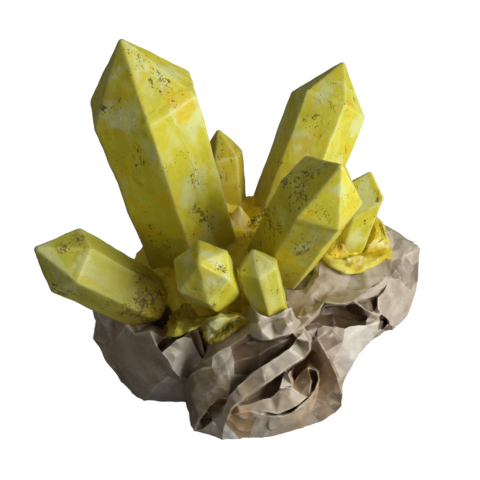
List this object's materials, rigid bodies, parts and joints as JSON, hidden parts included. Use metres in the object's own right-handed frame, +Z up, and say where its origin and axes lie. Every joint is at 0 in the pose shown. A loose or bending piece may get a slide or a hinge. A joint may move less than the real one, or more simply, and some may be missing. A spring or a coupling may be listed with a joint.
{
  "type": "papier-mache crystal cluster",
  "caption": "Free-standing display cluster of pointed hexagonal crystals in painted card, set in a papier-mache mound wrapped in crumpled kraft paper.",
  "frame": {"origin": "middle of the mound's flat underside, on the surface it stands on", "axes": "+Z up, -Y the front, +X to the right seen from the front"},
  "size_m": [0.3167, 0.256, 0.3078],
  "materials": {
    "painted_card": "card painted lemon yellow with brown specks, eggshell sheen",
    "painted_tissue": "crumpled tissue and paper pulp, painted ochre yellow, brush marks",
    "kraft_paper": "crumpled brown kraft paper, satin on its smooth side"
  },
  "bodies": {
    "root": {"crystal_tall_left": "painted_card", "crystal_tall_right": "painted_card", "crystal_front_right": "painted_card", "crystal_left": "painted_card", "crystal_front_stub": "painted_card", "crystal_small_front": "painted_card", "crystal_small_right": "painted_card", "crystal_small_rear": "painted_card", "mound": "painted_tissue", "tissue_front": "painted_tissue", "tissue_right": "painted_tissue", "kraft_left": "kraft_paper", "kraft_front": "kraft_paper", "kraft_right": "kraft_paper", "kraft_rear": "kraft_paper"}
  },
  "joints": []
}
